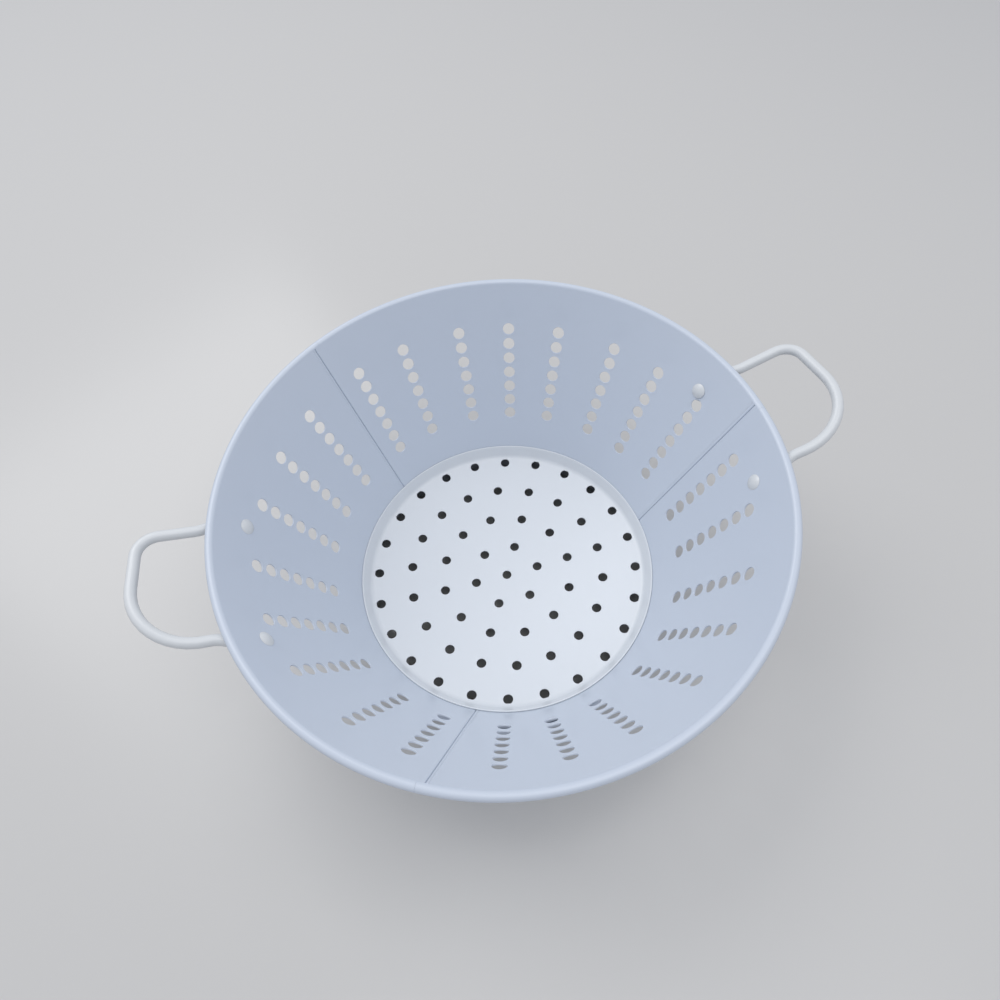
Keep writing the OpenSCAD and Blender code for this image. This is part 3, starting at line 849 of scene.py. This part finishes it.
class MESH_OT_colander_pan(PieceMaker, bpy.types.Operator):
    """Make the dished pan with its rings of holes and turned-up lip"""

    bl_idname = "mesh.colander_pan"
    bl_label = "Pan"

    def execute(self, context):
        b, _, colours = self.sizes(context)
        shape = BowlShape(b)
        edge_r = b.ring_count * b.ring_pitch - 9 * MM + 9.5 * MM
        collar_r = b.pan_hole_d / 2 + 0.9 * MM
        centres = [(0.0, 0.0)]
        for ring in range(1, b.ring_count + 1):
            for i in range(6 * ring):
                a = b.pan_turn + i * pi / 3 / ring
                centres.append((ring * b.ring_pitch * cos(a), ring * b.ring_pitch * sin(a)))

        def spot(x, y, **data):
            gap = min(hypot(x - u, y - v) for u, v in centres) - b.pan_hole_d / 2
            data.update(x=x, y=y, gap=min(gap, 20 * MM))
            return (x, y), data

        blank = Blank()
        for number, (u, v) in enumerate(centres):
            ring = [2 * pi * k / COLLAR_SIDES for k in range(COLLAR_SIDES)]
            blank.opening(number, [spot(u + collar_r * cos(a), v + collar_r * sin(a)) for a in ring])
        rim = [2 * pi * k / LIP_STEPS for k in range(LIP_STEPS)]
        edge_r = 75.6 * MM
        blank.chain([spot(edge_r * cos(a), edge_r * sin(a), open=True) for a in rim], closed=True)
        step = 3 * MM
        for ring in range(1, floor(edge_r / step)):
            r = ring * step
            count = 6 * ring
            for k in range(count):
                item = spot(r * cos(2 * pi * k / count), r * sin(2 * pi * k / count))
                if item[1]["gap"] > collar_r + 0.9 * MM - b.pan_hole_d / 2 and r < edge_r - 1.5 * MM:
                    blank.point(*item)
        mesh = two_sided("pan", blank, lambda d: (d["x"], d["y"], 0), lambda d: (d["x"], d["y"], b.sheet_t))
        set_numbers(mesh, "from_hole", [d["gap"] for d in blank.data] * 2)
        hole = collar("pan_hole", b.pan_hole_d / 2, collar_r, b.sheet_t, COLLAR_SIDES)
        lip = helper_line("lip_section", self.lip_section(shape, edge_r))
        piece = grow(
            "bottom_pan_enamelled", mesh, pan_growth(), collar=hole, lip=lip, rings=b.ring_count,
            ring_pitch=b.ring_pitch, pan_turn=b.pan_turn, dish_r=shape.dish_r, dish_z=shape.dish_z,
            lip_steps=LIP_STEPS, material=painted_light_pan_material(colours, b, shape),
        )
        settle(piece, "pan_enamel", "bottom_pan")
        drop_helpers(hole, lip)
        return {"FINISHED"}

    def lip_section(self, shape, edge_r):
        """The cove and lip from the dish's inside face, over the lip's edge and back to its underside"""
        b = shape.b
        lip_c = shape.face - b.sheet_t - b.fit_gap
        dish = Vector((0, shape.dish_z))
        dish_c = -shape.dish_z * shape.sin_a
        tilt = asin((lip_c - b.cove_r - dish_c) / (shape.dish_r - b.cove_r)) - b.wall_a
        cove = dish + (shape.dish_r - b.cove_r) * Vector((sin(tilt), -cos(tilt)))
        at_edge = asin(edge_r / shape.dish_r)
        lip_top = shape.rz(lip_c, shape.lip_s)
        out = Vector((shape.cos_a, -shape.sin_a)) * b.sheet_t
        up = Vector((shape.sin_a, shape.cos_a))
        half = b.sheet_t / 2
        inside = [dish + shape.dish_r * Vector((sin(at_edge), -cos(at_edge)))]
        inside += arc(cove, b.cove_r, tilt - pi / 2, -b.wall_a, 10)
        inside += [lip_top - up * (3 * half), lip_top - up * half]
        over = arc(lip_top + out / 2 - up * half, half, pi - b.wall_a, -b.wall_a, 6)
        outer_r = shape.dish_r + b.sheet_t
        under = asin(edge_r / outer_r)
        outside = list(reversed(arc(cove, b.cove_r + b.sheet_t, tilt - pi / 2, -b.wall_a, 10)))
        outside.append(dish + outer_r * Vector((sin(under), -cos(under))))
        return inside + over[1:] + outside


class MESH_OT_colander_foot(PieceMaker, bpy.types.Operator):
    """Make the foot ring with its collar, waist and rolled edge"""

    bl_idname = "mesh.colander_foot"
    bl_label = "Foot ring"

    def execute(self, context):
        b, _, colours = self.sizes(context)
        shape = BowlShape(b)
        line = helper_line("foot_section", self.section(shape))
        empty = new_mesh("foot_ring", [])
        piece = grow(
            "foot_ring_enamelled", empty, ring_growth(), line=line, steps=LIP_STEPS,
            material=foot_material(colours, b, shape),
        )
        settle(piece, "foot_enamel", "foot_ring")
        drop_helpers(line)
        return {"FINISHED"}

    def section(self, shape):
        """The foot's sheet as a closed line"""
        b = shape.b
        t = b.sheet_t
        c = shape.face + t + b.fit_gap
        waist = shape.rz(c + t + b.waist_r, shape.foot_s - b.fit_gap)
        flare_out = Vector((cos(b.foot_flare), sin(b.foot_flare)))
        flare_c = flare_out.dot(waist) - b.waist_r - t
        edge_r = b.foot_roll_r + t
        edge_z = edge_r - b.foot_worn
        edge = Vector(((flare_c + edge_r - edge_z * sin(b.foot_flare)) / cos(b.foot_flare), edge_z))
        top_in, top_out = shape.rz(c, shape.collar_s), shape.rz(c + t, shape.collar_s)
        up = Vector((shape.sin_a, shape.cos_a)) * (t / 2)
        cap = arc((top_in + top_out) / 2 - up, t / 2, pi - b.wall_a, -b.wall_a, 6)
        waist_out = arc(waist, b.waist_r, pi - b.wall_a, pi + b.foot_flare, 8)
        waist_in = arc(waist, b.waist_r + t, pi + b.foot_flare, pi - b.wall_a, 8)
        roll_start = pi + b.foot_flare
        roll_out = arc(edge, edge_r, roll_start, roll_start + b.foot_roll_a, 28)
        roll_in = arc(edge, b.foot_roll_r, roll_start + b.foot_roll_a, roll_start, 20)
        for p in roll_out:
            p[1] = max(p[1], 0.0)
        return cap + waist_out + list(roll_in[::-1]) + list(roll_out[::-1]) + waist_in + cap[:1]


class HandleShape:
    """Places on a handle that points along X and has its tight corner on +Y."""

    def __init__(self, shape, h, reach):
        b = shape.b
        self.shape, self.h = shape, h
        self.wire_r = h.wire_d / 2
        self.rivet_s = shape.slope_at(shape.bead[1] - h.rivet_drop)
        self.rivet_a = asin(h.rivet_span / 2 / shape.radius(self.rivet_s))
        self.seat_c = shape.face + b.sheet_t + b.fit_gap
        self.wire_c = self.seat_c + self.wire_r + 0.12 * MM
        rim_at_neck = sqrt(shape.bead[0] ** 2 - (h.neck_w / 2) ** 2)
        leg_z = shape.bead[1] - (shape.bead_r + h.leg_gap + self.wire_r) / cos(h.rise_a)
        rise = tan(h.rise_a)
        knee_s = (leg_z - rim_at_neck * rise + self.wire_c * (shape.sin_a + shape.cos_a * cos(self.rivet_a) * rise)) / (
            shape.cos_a - shape.sin_a * cos(self.rivet_a) * rise
        )
        self.knee_s = knee_s

        def plane(x, y):
            return Vector((x, y, leg_z + (x - rim_at_neck) * rise))

        mid_x, mid_y = reach - self.wire_r - h.wide_r, h.wide_r - h.loop_w / 2
        side = mid_x * cos(h.loop_lean) + mid_y * sin(h.loop_lean) + h.wide_r
        half = h.loop_w / 2
        tight_x = (side - half * sin(h.loop_lean)) / cos(h.loop_lean)
        wide_x = (side + half * sin(h.loop_lean)) / cos(h.loop_lean)
        neck_x = sqrt((b.rim_d / 2) ** 2 - (h.neck_w / 2) ** 2) + h.neck_out
        self.corners = [
            plane(neck_x, h.neck_w / 2), plane(tight_x, half), plane(wide_x, -half), plane(neck_x, -h.neck_w / 2)
        ]

    def on_wall(self, side, c, s, x=0.0):
        """A place on the wall above or below a rivet; side is 1 at the back and -1 at the front"""
        r, z = self.shape.rz(c, s)
        a = side * self.rivet_a
        return Vector((r * cos(a) - x * sin(a), r * sin(a) + x * cos(a), z))

    def wall_out(self, side):
        a = side * self.rivet_a
        return Vector((self.shape.cos_a * cos(a), self.shape.cos_a * sin(a), -self.shape.sin_a))

    def route(self):
        """Points of the wire from the tip of one flattened end to the other"""
        h = self.h
        radii = [h.knee_r + self.wire_r, h.neck_r, h.tight_r, h.wide_r, h.neck_r, h.knee_r + self.wire_r]
        tip = self.rivet_s - h.paddle_d / 2
        corners = [self.on_wall(1, self.wire_c, tip), self.on_wall(1, self.wire_c, self.knee_s), *self.corners,
                   self.on_wall(-1, self.wire_c, self.knee_s), self.on_wall(-1, self.wire_c, tip)]
        points = filleted(corners, radii)
        return points

    def section(self, s):
        """Half width, half thickness and outward shift of the wire at a place up the wall"""
        h = self.h
        r = h.paddle_d / 2
        up = s - (self.rivet_s - r)
        neck = self.knee_s - 3.4 * MM - self.rivet_s
        above = s - self.rivet_s
        disc = sqrt(max(r * r - min(above, 0.0) ** 2, 0.0))
        blend = smooth(above, 0.15 * r, neck)
        width = disc * (1 - blend) + self.wire_r * blend
        tipped = min(1.0, sqrt(max(up, 0.0) / (0.35 * r))) if up < 0.35 * r else 1.0
        thick_blend = smooth(above, 0.55 * r, neck)
        thick = (h.paddle_t / 2 * (0.35 + 0.65 * tipped)) * (1 - thick_blend) + self.wire_r * thick_blend
        middle_c = self.seat_c + h.paddle_t / 2 * (1 - thick_blend) + (self.wire_c - self.seat_c) * thick_blend
        return max(width, 0.4 * MM), thick, middle_c - self.wire_c


def smooth(value, low, high):
    share = min(max((value - low) / (high - low), 0.0), 1.0)
    return share * share * (3 - 2 * share)


def filleted(corners, radii, spacing=1.2 * MM, step=radians(9)):
    """Points along straight legs and round the corners between them"""
    points = [corners[0]]
    for before, corner, after, radius in zip(corners, corners[1:], corners[2:], radii):
        a, b = (before - corner).normalized(), (after - corner).normalized()
        turn = pi - a.angle(b)
        leg = radius * tan(turn / 2)
        centre = corner + (a + b).normalized() * radius / cos(turn / 2)
        first = corner + a * leg
        points += between(points[-1], first, spacing)
        x = (first - centre).normalized()
        axis = x.cross(-a).normalized()
        y = axis.cross(x)
        count = max(3, ceil(turn / step))
        points += [centre + radius * (x * cos(turn * i / count) + y * sin(turn * i / count)) for i in range(1, count + 1)]
    points += between(points[-1], corners[-1], spacing)
    return points


def between(start, end, spacing):
    count = max(1, ceil((end - start).length / spacing))
    return [start.lerp(end, i / count) for i in range(1, count + 1)]


class MESH_OT_colander_handles(PieceMaker, bpy.types.Operator):
    """Make the two bent wire handles with their flattened ends"""

    bl_idname = "mesh.colander_handles"
    bl_label = "Handles"

    def execute(self, context):
        b, h, colours = self.sizes(context)
        shape = BowlShape(b)
        growth = wire_growth()
        coat = handle_material(colours)
        for node, reach, turn in (("handle_right", h.right_reach, None), ("handle_left", h.left_reach, pi + h.left_turn)):
            handle = HandleShape(shape, h, reach)
            mesh = self.path(node, handle)
            if turn is not None:
                self.mirror(mesh, turn)
            piece = grow(node + "_enamelled", mesh, growth, sides=20, material=coat)
            settle(piece, "handle_enamel", node)
        return {"FINISHED"}

    def path(self, name, handle):
        points = handle.route()
        wides, thins, widths, thicks = [], [], [], []
        places = []
        for i, p in enumerate(points):
            along = (points[min(i + 1, len(points) - 1)] - points[max(i - 1, 0)]).normalized()
            side = 1 if i < len(points) / 2 else -1
            s = hypot(p[0], p[1]) * handle.shape.sin_a + p[2] * handle.shape.cos_a
            c = hypot(p[0], p[1]) * handle.shape.cos_a - p[2] * handle.shape.sin_a
            out = handle.wall_out(side)
            on_leg = abs(c - handle.wire_c) < 0.2 * MM and s < handle.knee_s - 2 * MM
            width, thick, shift = handle.section(s) if on_leg else (handle.wire_r, handle.wire_r, 0.0)
            wide = (out.cross(along)).normalized()
            places.append(p + out * shift)
            wides.append(wide)
            thins.append(wide.cross(along).normalized())
            widths.append(width)
            thicks.append(thick)
        mesh = new_mesh(name, places, [(i, i + 1) for i in range(len(places) - 1)])
        set_vectors(mesh, "wide", wides)
        set_vectors(mesh, "thin", thins)
        set_numbers(mesh, "half_width", widths)
        set_numbers(mesh, "half_thick", thicks)
        return mesh

    def mirror(self, mesh, turn):
        """The left handle is the right one mirrored in Y and turned round the bowl"""
        change = Matrix.Rotation(turn, 4, "Z") @ Matrix.Diagonal((1, -1, 1, 1))
        mesh.transform(change)
        for name in ("wide", "thin"):
            layer = mesh.attributes[name]
            set_to = [change.to_3x3() @ Vector(item.vector) for item in layer.data]
            layer.data.foreach_set("vector", [n for v in set_to for n in v])


class MESH_OT_colander_rivets(PieceMaker, bpy.types.Operator):
    """Make the four rivets that hold the handles"""

    bl_idname = "mesh.colander_rivets"
    bl_label = "Rivets"

    def execute(self, context):
        b, h, colours = self.sizes(context)
        shape = BowlShape(b)
        handle = HandleShape(shape, h, h.right_reach)
        line = helper_line("rivet_section", self.section(b, h))
        growth = rivet_growth()
        coat = rivet_material(colours)
        left = pi + h.left_turn
        turns = {
            "rivet_right_back": handle.rivet_a, "rivet_right_front": -handle.rivet_a,
            "rivet_left_back": left - handle.rivet_a, "rivet_left_front": left + handle.rivet_a,
        }
        r, z = shape.rz(shape.face, handle.rivet_s)
        for node, turn in turns.items():
            piece = grow(
                node + "_enamelled", new_mesh(node, []), growth, line=line, steps=32,
                place=(r * cos(turn), r * sin(turn), z), tilt=(0, b.wall_a + pi / 2, turn), material=coat,
            )
            settle(piece, "rivet_enamel", node)
        drop_helpers(line)
        return {"FINISHED"}

    def section(self, b, h):
        """From the top of the inner head, down the shank, to the top of the outer head: radius and depth"""

        def dome(d, height, steps=9):
            ball = (d * d / 4 + height * height) / (2 * height)
            return [(r, sqrt(ball * ball - r * r) - ball + height) for r in (d / 2 * i / steps for i in range(steps + 1))]

        seat = b.sheet_t + b.fit_gap + h.paddle_t + b.fit_gap
        inner = [(r, -b.fit_gap - up) for r, up in dome(h.inner_head_d, h.inner_head_h)]
        outer = [(r, seat + up) for r, up in reversed(dome(h.outer_head_d, h.outer_head_h))]
        return inner + [(h.rivet_d / 2, -b.fit_gap), (h.rivet_d / 2, seat)] + outer


class MESH_OT_colander_rim_wire(PieceMaker, bpy.types.Operator):
    """Give the wire inside the rim its plain iron finish"""

    bl_idname = "mesh.colander_rim_wire"
    bl_label = "Rim wire"

    def execute(self, context):
        wire = frame["nodes"]["rim_wire"]
        wire.data.materials.clear()
        wire.data.materials.append(wire_material())
        return {"FINISHED"}


def wall_material(colours, b, shape):
    return plain_enamel("wall_enamel", colours.wall)


def painted_light_pan_material(colours, b, shape):
    # The pan's lighter ground is painted light, standing for the light from above on the upward-facing pan
    return plain_enamel("pan_enamel", colours.pan)


def foot_material(colours, b, shape):
    return plain_enamel("foot_enamel", colours.wall)


def handle_material(colours):
    return plain_enamel("handle_enamel", colours.white)


def rivet_material(colours):
    return plain_enamel("rivet_enamel", colours.white)


def wire_material():
    return plain_enamel("rim_wire_iron", (0.3, 0.3, 0.3))


# Stage


class StageSettings(bpy.types.PropertyGroup):
    """The floor, the light and the camera"""

    lens: FloatProperty(name="Lens", description="Focal length in millimetres", default=24.44, min=15, max=90)
    distance: length("Distance", "From the camera to the point it looks at", 412.8, 200, 900)
    aim_x: length("Aim across", "Where the camera looks, towards the right handle", 11.1, -50, 50)
    aim_y: length("Aim back", "Where the camera looks, towards the back", 48.4, -60, 60)
    lift_a: angle("Height", "Angle of the view below level", 59.56, 10, 89)
    heading_a: angle("Heading", "Turn of the view from the back towards the right", 12.69, -180, 180)
    roll_a: angle("Roll", "Turn of the camera about its view", 5.58, -20, 20)
    floor: colour("Floor", "Colour of the floor", (0.62, 0.61, 0.59))


class SCENE_OT_colander_stage(PieceMaker, bpy.types.Operator):
    """Make the floor, the soft light and the camera"""

    bl_idname = "scene.colander_stage"
    bl_label = "Stage"

    def execute(self, context):
        stage = context.scene.colander_stage
        self.floor(stage)
        self.light(context.scene)
        self.camera(context.scene, stage)
        context.scene.view_settings.view_transform = "Standard"
        return {"FINISHED"}

    def floor(self, stage):
        half = 3.0
        mesh = new_mesh("floor", [(-half, -half, 0), (half, -half, 0), (half, half, 0), (-half, half, 0)], (), [(0, 1, 2, 3)])
        floor = new_object("floor", mesh)
        mesh.materials.append(plain_enamel("floor_paper", stage.floor))

    def light(self, scene):
        world = bpy.data.worlds.new("soft_room")
        scene.world = world
        world.use_nodes = True
        back = world.node_tree.nodes["Background"]
        back.inputs["Color"].default_value = (0.86, 0.90, 1.0, 1)
        back.inputs["Strength"].default_value = 0.55
        for name, place, size, power in (
            ("window", (-0.5, 0.9, 1.3), 1.1, 9.0),
            ("overhead", (0.3, -0.2, 1.5), 1.2, 7.0),
        ):
            lamp = bpy.data.lights.new(name, "AREA")
            lamp.shape = "SQUARE"
            lamp.size = size
            lamp.energy = power
            made = bpy.data.objects.new(name, lamp)
            scene.collection.objects.link(made)
            made.location = place
            made.rotation_euler = (Vector((0, 0, 0.05)) - Vector(place)).to_track_quat("-Z", "Y").to_euler()

    def camera(self, scene, stage):
        b = scene.colander_bowl
        data = bpy.data.cameras.new("camera")
        data.lens = stage.lens
        data.sensor_width = 36
        data.clip_start = 0.01
        camera = bpy.data.objects.new("camera", data)
        scene.collection.objects.link(camera)
        look = Vector((
            cos(stage.lift_a) * sin(stage.heading_a), cos(stage.lift_a) * cos(stage.heading_a), -sin(stage.lift_a)
        ))
        aim = Vector((stage.aim_x, stage.aim_y, b.pan_h))
        turn = look.to_track_quat("-Z", "Y").to_matrix() @ Matrix.Rotation(-stage.roll_a, 3, "Z")
        camera.matrix_world = Matrix.Translation(aim - look * stage.distance) @ turn.to_4x4()
        scene.camera = camera


class VIEW3D_PT_colander(bpy.types.Panel):
    """Lists the steps that build the colander"""

    bl_idname = "VIEW3D_PT_colander"
    bl_label = "Enamel colander"
    bl_space_type = "VIEW_3D"
    bl_region_type = "UI"
    bl_category = "Colander"

    def draw(self, context):
        scene, layout = context.scene, self.layout
        for group in (scene.colander_bowl, scene.colander_handles, scene.colander_colours, scene.colander_stage):
            box = layout.box()
            box.label(text=type(group).__doc__)
            for name in group.__annotations__:
                box.prop(group, name)
        for step in STEPS:
            layout.operator(step.bl_idname)


GROUPS = {
    "colander_bowl": BowlSizes, "colander_handles": HandleSizes,
    "colander_colours": FinishColours, "colander_stage": StageSettings,
}
STEPS = (
    MESH_OT_colander_walls, MESH_OT_colander_pan, MESH_OT_colander_foot, MESH_OT_colander_handles,
    MESH_OT_colander_rivets, MESH_OT_colander_rim_wire, SCENE_OT_colander_stage,
)


def register():
    for kind in (*GROUPS.values(), *STEPS, VIEW3D_PT_colander):
        bpy.utils.register_class(kind)
    for name, kind in GROUPS.items():
        setattr(bpy.types.Scene, name, PointerProperty(type=kind))


def unregister():
    for name in GROUPS:
        delattr(bpy.types.Scene, name)
    for kind in reversed((*GROUPS.values(), *STEPS, VIEW3D_PT_colander)):
        bpy.utils.unregister_class(kind)


def main():
    register()
    bpy.ops.mesh.colander_walls()
    bpy.ops.mesh.colander_pan()
    bpy.ops.mesh.colander_foot()
    bpy.ops.mesh.colander_handles()
    bpy.ops.mesh.colander_rivets()
    bpy.ops.mesh.colander_rim_wire()
    bpy.ops.scene.colander_stage()


if __name__ == "__main__":
    main()
